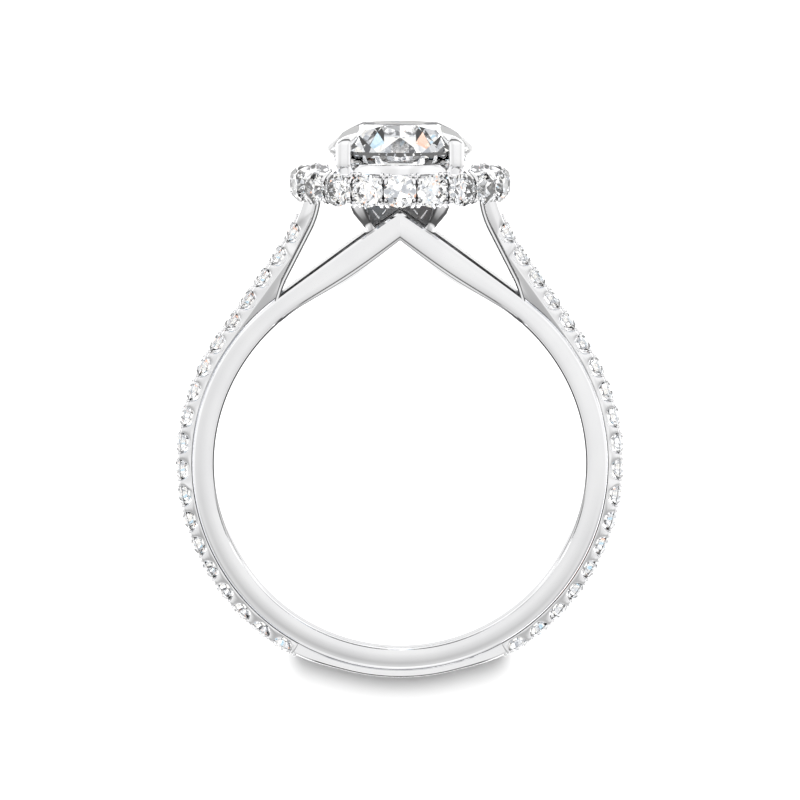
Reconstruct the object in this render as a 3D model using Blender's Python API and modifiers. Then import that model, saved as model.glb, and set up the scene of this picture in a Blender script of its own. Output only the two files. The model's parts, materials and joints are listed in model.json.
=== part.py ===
# Halo ring: a plain comfort-fit band with a pointed top, scalloped pave rails that arch up to the
# head, a halo of outward-facing brilliants, and one larger round brilliant in four claws.
#
# The ring is modelled about the middle of its finger hole: X across the ring, Y towards the head
# and Z along the finger. An empty then lays it on its side, leaning on the halo and the shank.

import bmesh
import bpy
from math import acos, asin, atan2, cos, degrees, pi, radians, sin, sqrt
from mathutils import Matrix, Vector

MM = 0.001

# Finger hole and plain band
HOLE_D = 16.5 * MM            # finger hole, measured at the crest of the comfort fit
BAND_T = 1.11 * MM            # radial wall of the plain band
BAND_W = 1.9 * MM             # band width along the finger
BAND_BEVEL = 0.12 * MM        # bevel on the band's edges

# Pointed top of the plain band
POINT_RISE = 2.19 * MM        # how far the band's outer edge rises to the point
POINT_ARCH = 1.68 * MM        # how far the hole's edge rises to the point
POINT_SPREAD = 40.0           # degrees from the point at which the outer edge starts to rise
ARCH_SPREAD = 33.0            # the same for the hole's edge
POINT_POWER = 2.38            # how sharply the outer edge rises
ARCH_POWER = 2.65             # the same for the hole's edge

# Scalloped rails
RAIL_T = 0.58 * MM            # rail over the plain band at the sides
RAIL_W = 1.8 * MM             # rail width along the finger
RAIL_SINK = 0.08 * MM         # how deep the rail is soldered into the band
RAIL_HEAD_SINK = 0.3 * MM     # how deep its top is soldered into the halo
RAIL_END_T = 0.49 * MM        # rail where the stones end
RAIL_BACK_T = 0.36 * MM       # plain rail at the back of the finger
RAIL_BEND_R = 8.1 * MM        # outer bend under the head
RAIL_TOP_LEAN = 17.0          # degrees from upright where the rail meets the halo, outside
RAIL_INNER_BEND_R = 4.0 * MM  # inner bend under the head
RAIL_INNER_LEAN = 27.0        # lean of the rail's straight inner edge
RAIL_INNER_TOP_LEAN = 8.0     # the same where it meets the halo
RAIL_TOP_INSET = 0.33 * MM    # rail's outer edge, in from the halo metal's outer face
RAIL_TOP_T = 0.77 * MM        # rail under the halo

# Pave stones of the rails
PAVE_COUNT = 19               # stones on each side
PAVE_D = 1.08 * MM
PAVE_PITCH = 1.21 * MM
PAVE_DROP = 1.48 * MM         # first stone below the halo, along the rail
PAVE_PROUD = 0.13 * MM        # table above the rail
PAVE_SIDES = 8
SCALLOP_R = 0.45 * MM         # round cut that shows each stone from the side
SCALLOP_DEPTH = 0.52 * MM     # its deepest point below the rail's edge
SCALLOP_STEPS = 6

# Halo rim
HALO_COUNT = 20
HALO_STONE_GAP = 0.1 * MM     # between neighbours, at their girdles
HALO_STONE_R = 4.92 * MM      # tables of the halo stones, from the head's axis
HALO_SKIRT = 0.26 * MM        # tables above the metal's outer face
HALO_BORE_CLEAR = 0.05 * MM   # halo's bore outside the centre stone
HALO_H = 1.52 * MM            # height of the halo metal
HEAD_GAP = 0.3 * MM           # halo's underside above the band's point
HALO_SEAT_GAP = 0.04 * MM     # clearance round each halo stone
PEG_R = 0.24 * MM             # small prongs at the corners of the halo stones
PEG_TIP_R = 0.17 * MM
PEG_PROUD = 0.04 * MM         # prongs above the tables
PEG_ROOT = 0.4 * MM           # prongs run this far into the halo metal
PEG_SPREAD = 0.54 * MM        # prongs above and below the stones' middle
PEG_SIDES = 8
RIM_STEPS = 40
RIM_ROUND_FROM = 0.4          # share of the wall where the round outside starts
RIM_ROUND_STEPS = 8
RIM_BORE_SHARE = 0.36         # half of the upright bore, as a share of the height

# Centre stone
STONE_D = 6.5 * MM
STONE_LIFT = 0.77 * MM        # girdle's middle above the halo
STONE_SEAT_GAP = 0.06 * MM    # clearance to the claws and the band's point

# Seat ring under the centre stone
SEAT_INSET = 0.03 * MM        # its outer face, in from the stone's girdle
SEAT_T = 0.3 * MM
SEAT_H = 0.4 * MM
SEAT_DROP = 0.46 * MM         # its top below the girdle
SEAT_STEPS = 40

# Proportions of a round brilliant, as shares of its diameter
TABLE_SHARE = 0.54
STAR_SHARE = 0.75
STAR_HEIGHT = 0.62            # share of the crown's height
CROWN_SHARE = 0.17
GIRDLE_SHARE = 0.018
PAVILION_SHARE = 0.405
LOWER_SHARE = 0.22
LOWER_HOLLOW = 0.97           # how nearly the lower facets reach the cone
STONE_FOLD = 8                # main facets round a stone

# Claws and basket
CLAW_R = 0.33 * MM
KNEE_R = 0.31 * MM            # struts that carry the claws, under the halo
FOOT_R = 0.22 * MM            # the same where they stand on the band
CLAW_TURN = 45.0              # degrees from the ring's plane
CLAW_STAND = 0.2 * MM         # claw's middle outside the girdle
CLAW_RISE = 0.3 * MM          # upright claw above the girdle
CLAW_TIP_RISE = 0.22 * MM     # further rise of the tip
CLAW_TIP_LEAN = 0.35 * MM     # how far the tip leans over the stone
FOOT_X = 1.35 * MM            # strut feet on the band's shoulders
FOOT_Z = 0.62 * MM
FOOT_SINK = 0.15 * MM
SADDLE_T = 1.0 * MM           # plate between the struts, along the finger
SADDLE_DROP = 0.22 * MM       # its top below the halo
SADDLE_TOP_X = 1.5 * MM       # half its length at the top
KNEE_X = 1.88 * MM            # struts under the halo
KNEE_Z = 1.6 * MM
KNEE_DROP = 0.2 * MM

ARC_STEPS = 72                # points round the plain band

HOLE_R = HOLE_D / 2
BAND_R = HOLE_R + BAND_T
RAIL_R = BAND_R + RAIL_T
POINT_Y = BAND_R + POINT_RISE
HALO_LOW = POINT_Y + HEAD_GAP
HALO_TOP = HALO_LOW + HALO_H
HALO_MID = (HALO_LOW + HALO_TOP) / 2
HALO_FACE_R = HALO_STONE_R - HALO_SKIRT
HALO_BORE_R = STONE_D / 2 + HALO_BORE_CLEAR
HALO_STEP = 2 * sin(pi / HALO_COUNT)
HALO_CROWN = CROWN_SHARE + GIRDLE_SHARE / 2
HALO_STONE_D = (HALO_STEP * HALO_STONE_R - HALO_STONE_GAP) / (1 + HALO_STEP * HALO_CROWN)
GIRDLE_Y = HALO_TOP + STONE_LIFT


def clear_scene():
    for thing in list(bpy.data.objects):
        bpy.data.objects.remove(thing, do_unlink=True)


def new_collection(name):
    group = bpy.data.collections.new(name)
    bpy.context.scene.collection.children.link(group)
    return group


def new_material(name, colour, roughness, metallic, transmission=0.0, ior=1.5):
    made = bpy.data.materials.new(name)
    made.use_nodes = True
    shader = made.node_tree.nodes["Principled BSDF"]
    shader.inputs["Base Color"].default_value = (*colour, 1.0)
    shader.inputs["Roughness"].default_value = roughness
    shader.inputs["Metallic"].default_value = metallic
    shader.inputs["Transmission Weight"].default_value = transmission
    shader.inputs["IOR"].default_value = ior
    return made


def mesh_object(name, work, group):
    mesh = bpy.data.meshes.new(name)
    work.to_mesh(mesh)
    work.free()
    thing = bpy.data.objects.new(name, mesh)
    group.objects.link(thing)
    return thing


def baked(thing, group):
    """Turn a curve or a modified mesh into a plain, welded mesh in the ring's own frame."""
    shape = thing.evaluated_get(bpy.context.evaluated_depsgraph_get())
    mesh = bpy.data.meshes.new_from_object(shape)
    mesh.transform(thing.matrix_world)
    work = bmesh.new()
    work.from_mesh(mesh)
    bmesh.ops.remove_doubles(work, verts=work.verts, dist=0.001 * MM)
    bmesh.ops.recalc_face_normals(work, faces=work.faces)
    name = thing.name
    bpy.data.objects.remove(thing, do_unlink=True)
    return mesh_object(name, work, group)


def plate(name, outlines, width, bevel, group):
    """A flat plate between Z = -width/2 and +width/2, with the later outlines cut through it."""
    curve = bpy.data.curves.new(name, "CURVE")
    curve.dimensions = "2D"
    curve.fill_mode = "BOTH"
    curve.extrude = width / 2 - bevel
    curve.bevel_depth = bevel
    curve.bevel_resolution = 0
    curve.offset = -bevel
    for outline in outlines:
        spline = curve.splines.new("POLY")
        spline.points.add(len(outline) - 1)
        for point, (x, y) in zip(spline.points, outline):
            point.co = (x, y, 0.0, 1.0)
        spline.use_cyclic_u = True
    thing = bpy.data.objects.new(name, curve)
    group.objects.link(thing)
    bpy.context.view_layer.update()
    return baked(thing, group)


def join(base, tools, operation):
    """Union or cut each tool into the base with an exact Boolean, then bake the result."""
    for tool in tools:
        step = base.modifiers.new(tool.name, "BOOLEAN")
        step.operation = operation
        step.solver = "EXACT"
        step.object = tool
    bpy.context.view_layer.update()
    return base


def polar(radius, degrees_up):
    return (radius * cos(radians(degrees_up)), radius * sin(radians(degrees_up)))


def pointed_radius(base, rise, spread, power, degrees_up):
    """Radius of a round outline that rises to a point at the top."""
    from_top = abs((degrees_up - 90.0 + 180.0) % 360.0 - 180.0)
    if from_top >= spread:
        return base
    return base + rise * (1.0 - from_top / spread) ** power


def ring_angles(spread):
    """Angles round the ring, closer together where the outline bends to its point."""
    top_steps = ARC_STEPS // 4
    angles = [90.0 - spread + 2 * spread * i / top_steps for i in range(top_steps)]
    rest = ARC_STEPS - top_steps
    angles += [90.0 + spread + (360.0 - 2 * spread) * i / rest for i in range(rest)]
    return angles


def band_outlines():
    outer = [polar(pointed_radius(BAND_R, POINT_RISE, POINT_SPREAD, POINT_POWER, a), a)
             for a in ring_angles(POINT_SPREAD)]
    hole = [polar(pointed_radius(HOLE_R, POINT_ARCH, ARCH_SPREAD, ARCH_POWER, a), a)
            for a in ring_angles(ARCH_SPREAD)]
    return [outer, hole]


def rail_frame():
    """Where the rail's outer edge leaves its circle and where its straight part ends."""
    top = Vector((HALO_FACE_R - RAIL_TOP_INSET, HALO_LOW))
    lean = radians(RAIL_TOP_LEAN)
    centre = top + RAIL_BEND_R * Vector((cos(lean), sin(lean)))
    leave = atan2(centre.y, centre.x) - acos((RAIL_R + RAIL_BEND_R) / centre.length)
    return centre, leave, lean


def rail_point(run):
    """Point and outward direction of the rail's outer edge, a distance below the halo."""
    centre, leave, lean = rail_frame()
    bend = RAIL_BEND_R * (leave - lean)
    out = Vector((cos(leave), sin(leave)))
    bend_end = centre - RAIL_BEND_R * out
    straight = (bend_end - RAIL_R * out).length
    if run < bend:
        turn = lean + run / RAIL_BEND_R
        out = Vector((cos(turn), sin(turn)))
        return centre - RAIL_BEND_R * out, out
    if run < bend + straight:
        along = Vector((out.y, -out.x))
        return bend_end + (run - bend) * along, out
    turn = leave - (run - bend - straight) / RAIL_R
    out = Vector((cos(turn), sin(turn)))
    return RAIL_R * out, out


def pave_runs():
    return [PAVE_DROP + PAVE_PITCH * i for i in range(PAVE_COUNT)]


def scallop(run):
    """Points of the round cut that shows one pave stone, from its upper to its lower lip."""
    edge, out = rail_point(run)
    down = Vector((out.y, -out.x))
    depth = SCALLOP_DEPTH - SCALLOP_R
    lip = asin(depth / SCALLOP_R)
    middle = edge - depth * out
    sweep = pi + 2 * lip
    points = []
    for i in range(SCALLOP_STEPS + 1):
        turn = -lip + sweep * i / SCALLOP_STEPS
        points.append(middle - SCALLOP_R * (cos(turn) * down + sin(turn) * out))
    return points


def rail_outer_side():
    """Right half of the rail's outer edge, from the halo down to the back of the finger."""
    points = [rail_point(-RAIL_HEAD_SINK)[0], rail_point(0.0)[0]]
    runs = pave_runs()
    bend_steps = 3
    for i in range(1, bend_steps):
        points.append(rail_point((PAVE_DROP - SCALLOP_R) * i / bend_steps)[0])
    for run in runs:
        points += scallop(run)
    last, out = rail_point(runs[-1] + PAVE_PITCH / 2)
    points.append(last)
    end_angle = degrees(atan2(out.y, out.x)) - 1.5
    back_steps = 10
    for i in range(back_steps + 1):
        share = i / back_steps
        angle = end_angle + (-90.0 - end_angle) * share
        wall = RAIL_BACK_T + (RAIL_END_T - RAIL_BACK_T) * (0.5 + 0.5 * cos(pi * share))
        points.append(Vector(polar(BAND_R + wall, angle)))
    return points


def rail_inner_side():
    """Right half of the rail's inner edge, from the back of the finger up to the halo."""
    top = Vector((HALO_FACE_R - RAIL_TOP_INSET - RAIL_TOP_T, HALO_LOW))
    high = radians(RAIL_INNER_TOP_LEAN)
    low = radians(RAIL_INNER_LEAN)
    centre = top + RAIL_INNER_BEND_R * Vector((cos(high), sin(high)))
    bend_end = centre - RAIL_INNER_BEND_R * Vector((cos(low), sin(low)))
    along = Vector((sin(low), -cos(low)))
    sunk = BAND_R - RAIL_SINK
    ahead = bend_end.dot(along)
    reach = -ahead - sqrt(ahead * ahead - bend_end.length_squared + sunk * sunk)
    split = bend_end + reach * along
    split_angle = degrees(atan2(split.y, split.x))
    steps = 36
    points = [Vector(polar(sunk, -90.0 + (split_angle + 90.0) * i / steps)) for i in range(steps + 1)]
    bend_steps = 4
    for i in range(bend_steps + 1):
        turn = low + (high - low) * i / bend_steps
        points.append(centre - RAIL_INNER_BEND_R * Vector((cos(turn), sin(turn))))
    points.append(top + RAIL_HEAD_SINK * Vector((-sin(high), cos(high))))
    return points


def rail_outline():
    outer = rail_outer_side()
    inner = rail_inner_side()
    right_down = [(p.x, p.y) for p in outer]
    left_up = [(-p.x, p.y) for p in reversed(outer[:-1])]
    left_down = [(-p.x, p.y) for p in reversed(inner[1:])]
    right_up = [(p.x, p.y) for p in inner]
    return right_down + left_up + left_down + right_up


def brilliant(diameter, gap=0.0, fold=STONE_FOLD):
    """Convex hull of a round brilliant about its girdle, with its table towards +Z."""
    work = bmesh.new()
    radius = diameter / 2
    crown = CROWN_SHARE * diameter
    girdle = GIRDLE_SHARE * diameter / 2
    depth = PAVILION_SHARE * diameter
    step = 2 * pi / fold

    def ring(count, r, z, shift):
        for i in range(count):
            turn = 2 * pi * i / count + shift
            work.verts.new((r * cos(turn), r * sin(turn), z))

    ring(fold, radius * TABLE_SHARE, girdle + crown, step / 2)
    ring(fold, radius * STAR_SHARE, girdle + crown * STAR_HEIGHT, 0.0)
    ring(2 * fold, radius, girdle, 0.0)
    ring(2 * fold, radius, -girdle, 0.0)
    ring(fold, radius * LOWER_SHARE, -girdle - depth * (1 - LOWER_SHARE) * LOWER_HOLLOW, step / 2)
    work.verts.new((0.0, 0.0, -girdle - depth))
    hull = bmesh.ops.convex_hull(work, input=work.verts)
    inside = [v for v in hull["geom_interior"] if isinstance(v, bmesh.types.BMVert)]
    bmesh.ops.delete(work, geom=inside, context="VERTS")
    if gap:
        share = (radius + gap) / radius
        bmesh.ops.scale(work, vec=(share, share, share), verts=work.verts)
    bmesh.ops.recalc_face_normals(work, faces=work.faces)
    return work


def facing(origin, outward, upward):
    """Matrix that puts a stone's table along outward, with upward as its second direction."""
    z = outward.normalized()
    y = (upward - upward.dot(z) * z).normalized()
    x = y.cross(z)
    turn = Matrix((x, y, z)).transposed().to_4x4()
    return Matrix.Translation(origin) @ turn


def halo_place(angle, radius, height=0.0):
    """Point of the halo at an angle from the finger's direction, and its outward direction."""
    out = Vector((sin(angle), 0.0, cos(angle)))
    return radius * out + Vector((0.0, HALO_MID + height, 0.0)), out


def halo_girdle_r():
    return HALO_STONE_R - HALO_CROWN * HALO_STONE_D


def make_band(group):
    return plate("inner_band", band_outlines(), BAND_W, BAND_BEVEL, group)


def make_rails(group):
    return plate("pave_rails", [rail_outline()], RAIL_W, 0.0, group)


def make_pave(side, index, run, group):
    edge, out = rail_point(run)
    edge = Vector((side * edge.x, edge.y, 0.0))
    out = Vector((side * out.x, out.y, 0.0))
    crown = CROWN_SHARE * PAVE_D
    work = bmesh.new()
    bmesh.ops.create_cone(work, cap_ends=True, segments=PAVE_SIDES, radius1=PAVE_D / 2,
                          radius2=PAVE_D / 2 * TABLE_SHARE, depth=crown,
                          matrix=Matrix.Translation((0.0, 0.0, crown / 2)))
    base = [f for f in work.faces if f.normal.z < -0.9]
    culet = bmesh.ops.poke(work, faces=base)["verts"]
    bmesh.ops.translate(work, vec=(0.0, 0.0, -PAVILION_SHARE * PAVE_D), verts=culet)
    place = facing(edge + (PAVE_PROUD - crown) * out, out, Vector((0.0, 0.0, 1.0)))
    bmesh.ops.transform(work, matrix=place @ Matrix.Rotation(pi / PAVE_SIDES, 4, "Z"), verts=work.verts)
    return mesh_object("pave_%s_%02d" % ("right" if side > 0 else "left", index), work, group)


def turned(name, profile, steps, group):
    """Turn a closed outline of radius and height about the head's axis."""
    work = bmesh.new()
    verts = [work.verts.new((r, 0.0, y)) for r, y in profile]
    for i, vert in enumerate(verts):
        work.edges.new((vert, verts[(i + 1) % len(verts)]))
    thing = mesh_object(name, work, group)
    spin = thing.modifiers.new("turn", "SCREW")
    spin.steps = steps
    spin.render_steps = steps
    spin.use_merge_vertices = True
    spin.merge_threshold = 0.001 * MM
    thing.rotation_euler = (-pi / 2, 0.0, 0.0)
    bpy.context.view_layer.update()
    return baked(thing, group)


def make_rim(group):
    """Halo metal: round outside, upright inside."""
    wall = HALO_FACE_R - HALO_BORE_R
    middle = HALO_BORE_R + RIM_ROUND_FROM * wall
    upright = RIM_BORE_SHARE * HALO_H
    profile = [(HALO_BORE_R, HALO_MID - upright), (HALO_BORE_R, HALO_MID + upright)]
    for i in range(RIM_ROUND_STEPS + 1):
        turn = pi / 2 - pi * i / RIM_ROUND_STEPS
        profile.append((middle + (HALO_FACE_R - middle) * cos(turn), HALO_MID + HALO_H / 2 * sin(turn)))
    return turned("halo_rim", profile, RIM_STEPS, group)


def make_seat_ring(group):
    outer = STONE_D / 2 - SEAT_INSET
    top = GIRDLE_Y - SEAT_DROP
    profile = [(outer - SEAT_T, top - SEAT_H), (outer - SEAT_T, top), (outer, top), (outer, top - SEAT_H)]
    return turned("seat_ring", profile, SEAT_STEPS, group)


def make_peg(index, level, group):
    angle = 2 * pi * (index + 0.5) / HALO_COUNT
    tip, out = halo_place(angle, HALO_STONE_R + PEG_PROUD, level * PEG_SPREAD)
    length = HALO_SKIRT + PEG_PROUD + PEG_ROOT
    work = bmesh.new()
    bmesh.ops.create_cone(work, cap_ends=True, segments=PEG_SIDES, radius1=PEG_R, radius2=PEG_TIP_R,
                          depth=length, matrix=Matrix.Translation((0.0, 0.0, -length / 2)))
    bmesh.ops.transform(work, matrix=facing(tip, out, Vector((0.0, 1.0, 0.0))), verts=work.verts)
    return mesh_object("peg_%02d_%s" % (index, "high" if level > 0 else "low"), work, group)


def foot_height():
    """Height at which the struts end, inside the band's shoulders."""
    from_top = degrees(atan2(FOOT_X, POINT_Y))
    shoulder = pointed_radius(BAND_R, POINT_RISE, POINT_SPREAD, POINT_POWER, 90.0 - from_top)
    return sqrt(shoulder * shoulder - FOOT_X * FOOT_X) - FOOT_R - FOOT_SINK


def make_saddle(group):
    top = HALO_LOW - SADDLE_DROP
    foot = foot_height()
    outline = [(-FOOT_X, foot), (-SADDLE_TOP_X, top), (SADDLE_TOP_X, top), (FOOT_X, foot)]
    return plate("saddle", [outline], SADDLE_T, 0.0, group)


def claw_path(side_x, side_z):
    stand = STONE_D / 2 + CLAW_STAND
    turn = radians(CLAW_TURN)

    def at(radius, y):
        return Vector((side_x * radius * cos(turn), y, side_z * radius * sin(turn)))

    return [
        (Vector((side_x * FOOT_X, foot_height(), side_z * FOOT_Z)), FOOT_R),
        (Vector((side_x * KNEE_X, HALO_LOW - KNEE_DROP, side_z * KNEE_Z)), KNEE_R),
        (at(stand, HALO_TOP), CLAW_R),
        (at(stand, GIRDLE_Y + CLAW_RISE), CLAW_R),
        (at(stand - CLAW_TIP_LEAN, GIRDLE_Y + CLAW_RISE + CLAW_TIP_RISE), CLAW_R),
    ]


def make_claw(side_x, side_z, group):
    name = "claw_%s_%s" % ("right" if side_x > 0 else "left", "front" if side_z > 0 else "back")
    curve = bpy.data.curves.new(name, "CURVE")
    curve.dimensions = "3D"
    curve.bevel_depth = CLAW_R
    curve.bevel_resolution = 2
    curve.use_fill_caps = True
    path = claw_path(side_x, side_z)
    spline = curve.splines.new("POLY")
    spline.points.add(len(path) - 1)
    for point, (place, radius) in zip(spline.points, path):
        point.co = (*place, 1.0)
        point.radius = radius / CLAW_R
    thing = bpy.data.objects.new(name, curve)
    group.objects.link(thing)
    bpy.context.view_layer.update()
    return baked(thing, group)


def centre_matrix():
    up = Vector((0.0, 1.0, 0.0))
    return facing(Vector((0.0, GIRDLE_Y, 0.0)), up, Vector((0.0, 0.0, 1.0)))


def halo_matrix(index):
    place, out = halo_place(2 * pi * index / HALO_COUNT, halo_girdle_r())
    return facing(place, out, Vector((0.0, 1.0, 0.0)))


def stone_object(name, diameter, matrix, group, gap=0.0):
    work = brilliant(diameter, gap)
    bmesh.ops.transform(work, matrix=matrix, verts=work.verts)
    return mesh_object(name, work, group)


def merged(name, things, group):
    """Join objects that don't meet each other into one cutter or tool."""
    work = bmesh.new()
    for thing in things:
        work.from_mesh(thing.data)
        bpy.data.objects.remove(thing, do_unlink=True)
    return mesh_object(name, work, group)


def make_mount(parts, tools):
    mount = make_band(parts)
    mount.name = "ring_mount"
    sides = (-1, 1)
    pave = [make_pave(side, i + 1, run, tools) for side in sides for i, run in enumerate(pave_runs())]
    pegs = [make_peg(i, level, tools) for i in range(HALO_COUNT) for level in sides]
    added = [
        make_rails(tools),
        merged("pave_stones", pave, tools),
        make_rim(tools),
        make_seat_ring(tools),
        make_saddle(tools),
        merged("pegs", pegs, tools),
    ]
    added += [make_claw(x, z, tools) for x in sides for z in sides]
    join(mount, added, "UNION")
    seats = [stone_object("seat_%02d" % (i + 1), HALO_STONE_D, halo_matrix(i), tools, HALO_SEAT_GAP)
             for i in range(HALO_COUNT)]
    cuts = [
        merged("halo_seats", seats, tools),
        stone_object("centre_seat", STONE_D, centre_matrix(), tools, STONE_SEAT_GAP),
    ]
    join(mount, cuts, "DIFFERENCE")
    for tool in added + cuts:
        tool.hide_render = True
        tool.display_type = "WIRE"
    return mount


def lean_angle(things):
    """Lean at which the head and the back of the shank touch the table together."""
    graph = bpy.context.evaluated_depsgraph_get()
    points = []
    for thing in things:
        shape = thing.evaluated_get(graph)
        points += [(v.co.y, v.co.z) for v in shape.data.vertices]
    lean = 0.0
    for _ in range(12):
        low = [(y * sin(lean) + z * cos(lean), y, z) for y, z in points]
        head = min(p for p in low if p[1] > 0.0)
        back = min(p for p in low if p[1] < 0.0)
        lean = atan2(back[2] - head[2], head[1] - back[1])
    return lean


def lay_down(things, carried, parts):
    lean = lean_angle(things)
    rest = bpy.data.objects.new("ring_rest", None)
    parts.objects.link(rest)
    rest.rotation_euler = (lean, 0.0, 0.0)
    graph = bpy.context.evaluated_depsgraph_get()
    turn = Matrix.Rotation(lean, 4, "X")
    placed = [turn @ v.co for thing in things for v in thing.evaluated_get(graph).data.vertices]
    low_z = min(p.z for p in placed)
    mid_y = (min(p.y for p in placed) + max(p.y for p in placed)) / 2
    rest.location = (0.0, -mid_y, -low_z)
    for thing in things + carried:
        thing.parent = rest
    bpy.context.view_layer.update()
    return rest


def main():
    clear_scene()
    parts = new_collection("halo_ring")
    tools = new_collection("cutters")
    metal = new_material("white_gold", (0.86, 0.86, 0.87), 0.12, 1.0)
    gem = new_material("diamond", (0.98, 0.98, 1.0), 0.0, 0.0, transmission=1.0, ior=2.417)
    mount = make_mount(parts, tools)
    centre = stone_object("centre_stone", STONE_D, centre_matrix(), parts)
    halo = [stone_object("halo_stone_%02d" % (i + 1), HALO_STONE_D, halo_matrix(i), parts)
            for i in range(HALO_COUNT)]
    mount.data.materials.append(metal)
    for stone in [centre] + halo:
        stone.data.materials.append(gem)
    lay_down([mount, centre] + halo, list(tools.objects), parts)


main()
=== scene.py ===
import json
from math import acos, atan, atan2, cos, degrees, pi, radians, sin, sqrt

import bmesh
import bpy
from mathutils import Matrix, Vector


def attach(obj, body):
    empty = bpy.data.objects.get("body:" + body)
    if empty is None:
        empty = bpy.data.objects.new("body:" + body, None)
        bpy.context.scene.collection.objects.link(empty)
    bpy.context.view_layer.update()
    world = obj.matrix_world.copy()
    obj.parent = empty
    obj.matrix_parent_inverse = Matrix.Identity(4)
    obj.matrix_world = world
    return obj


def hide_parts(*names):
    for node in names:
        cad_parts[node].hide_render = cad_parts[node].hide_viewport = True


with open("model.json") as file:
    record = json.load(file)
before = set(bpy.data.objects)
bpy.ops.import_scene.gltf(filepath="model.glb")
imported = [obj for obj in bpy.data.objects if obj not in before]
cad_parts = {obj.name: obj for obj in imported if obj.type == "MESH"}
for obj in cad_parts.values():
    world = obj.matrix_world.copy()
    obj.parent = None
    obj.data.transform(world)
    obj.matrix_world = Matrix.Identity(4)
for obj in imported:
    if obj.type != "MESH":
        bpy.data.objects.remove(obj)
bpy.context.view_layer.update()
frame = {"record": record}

# All pieces are drawn in millimetres about the middle of the finger hole: X across the ring,
# Y towards the head and Z along the finger. The flat side of the band, which the record's
# mount gives, tells how the ring lies on the floor.
mm = 0.001
bandSide = [m for m in frame["record"]["mounts"] if m["name"] == "band_side"][0]
sidePoint = Vector(bandSide["pos_m"])
sideAxis = Vector(bandSide["axis"])

band = {
    "holeR": 8.25,           # crest of the comfort fit
    "outerR": 9.36,
    "width": 1.9,
    "pointRise": 2.19,       # outer edge at the point, over outerR
    "pointSpread": 40.0,     # degrees from the top where the rise starts
    "pointPower": 2.38,
    "archRise": 1.68,        # hole edge at the point, over holeR
    "archSpread": 33.0,
    "archPower": 2.65,
    "sideR": -8.8,           # place of the record's mount, along Y
    "crease": 0.028,         # soft ridge along the middle of each side
    "edgeRound": 0.22,       # rounding from the side into the hole
    "archRound": 0.75,       # how much wider that rounding gets at the point
    "pointBevel": 0.7,       # how much wider the outer bevel gets at the point
    "pointFade": (4.0, 60.0),    # degrees from the top over which both extras fade
    "roundFade": 0.9,        # share of the rounding lost by the outer edge
    "darkSpread": 37.0,      # degrees from the top where the outer bevel takes the darkened metal as painted shade
    "softShares": (0.0, 0.58, 0.71),    # shares of the side that stay smooth; the rest are crisp
    "softWall": 0.6,         # the hole's wall is smooth this far from its middle
    "smoothBelow": 14.0,
    "steps": 288,
}

lean = atan2(-sideAxis.y, sideAxis.z)
tilt = Matrix.Rotation(lean, 4, "X")
holeMiddle = sidePoint - tilt @ Vector((0.0, band["sideR"] * mm, band["width"] / 2 * mm))
ringToFloor = Matrix.Translation(holeMiddle) @ tilt @ Matrix.Scale(mm, 4)


def onFloor(x, y, z):
    return ringToFloor @ Vector((x, y, z))


# Camera, from the photograph: slightly above the head, looking along the finger

cameraSet = {
    "place": (0.0, 29.0, 209.0),   # in the ring's own millimetres
    "lookDown": 7.139,             # degrees below the finger's direction
    "lens": 210.0,
    "sensor": 36.0,
    "near": 0.01,
    "far": 10.0,
}


def makeCamera():
    lookDown = radians(cameraSet["lookDown"])
    data = bpy.data.cameras.new("camera")
    data.lens = cameraSet["lens"]
    data.sensor_width = cameraSet["sensor"]
    data.sensor_fit = "HORIZONTAL"
    data.clip_start = cameraSet["near"]
    data.clip_end = cameraSet["far"]
    camera = bpy.data.objects.new("camera", data)
    bpy.context.scene.collection.objects.link(camera)
    back = (tilt @ Vector((0.0, sin(lookDown), cos(lookDown), 0.0))).to_3d()
    up = (tilt @ Vector((0.0, cos(lookDown), -sin(lookDown), 0.0))).to_3d()
    right = up.cross(back)
    turn = Matrix((right, up, back)).transposed().to_4x4()
    camera.matrix_world = Matrix.Translation(onFloor(*cameraSet["place"])) @ turn
    bpy.context.scene.camera = camera


makeCamera()
print("camera placed")


# Shader maths as plain expressions

class Sock:
    def __init__(self, graph, socket):
        self.graph = graph
        self.socket = socket

    def calc(self, operation, other, swap=False):
        values = (other, self) if swap else (self, other)
        return self.graph.add("Math", {"operation": operation}, {0: values[0], 1: values[1]})

    def __add__(self, other):
        return self.calc("ADD", other)

    def __radd__(self, other):
        return self.calc("ADD", other, True)

    def __mul__(self, other):
        return self.calc("MULTIPLY", other)

    def __rmul__(self, other):
        return self.calc("MULTIPLY", other, True)


class Graph:
    def __init__(self, owner, shader="Principled BSDF"):
        self.tree = owner.node_tree
        self.shader = self.tree.nodes[shader]

    def add(self, kind, settings=None, inputs=None, output=0):
        node = self.tree.nodes.new("ShaderNode" + kind)
        for key, value in (settings or {}).items():
            if key == "stops":
                while len(node.color_ramp.elements) < len(value):
                    node.color_ramp.elements.new(0.5)
                for element, (place, shade) in zip(node.color_ramp.elements, value):
                    element.position = place
                    element.color = (*shade, 1.0)
            else:
                setattr(node, key, value)
        for key, value in (inputs or {}).items():
            self.feed(node.inputs[key], value)
        return Sock(self, node.outputs[output])

    def feed(self, socket, value):
        if isinstance(value, Sock):
            self.tree.links.new(value.socket, socket)
        else:
            socket.default_value = value

    def set(self, name, value):
        self.feed(self.shader.inputs[name], value)

    def split(self, vector):
        axes = self.add("SeparateXYZ", None, {0: vector})
        return [Sock(self, socket) for socket in axes.socket.node.outputs]

    def mix(self, share, first, second, blend="MIX"):
        values = {"Factor": share, 6: first, 7: second}
        return self.add("Mix", {"data_type": "RGBA", "blend_type": blend}, values, output=2)


def newMaterial(name):
    made = bpy.data.materials.new(name)
    made.use_nodes = True
    return made, Graph(made)


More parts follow.
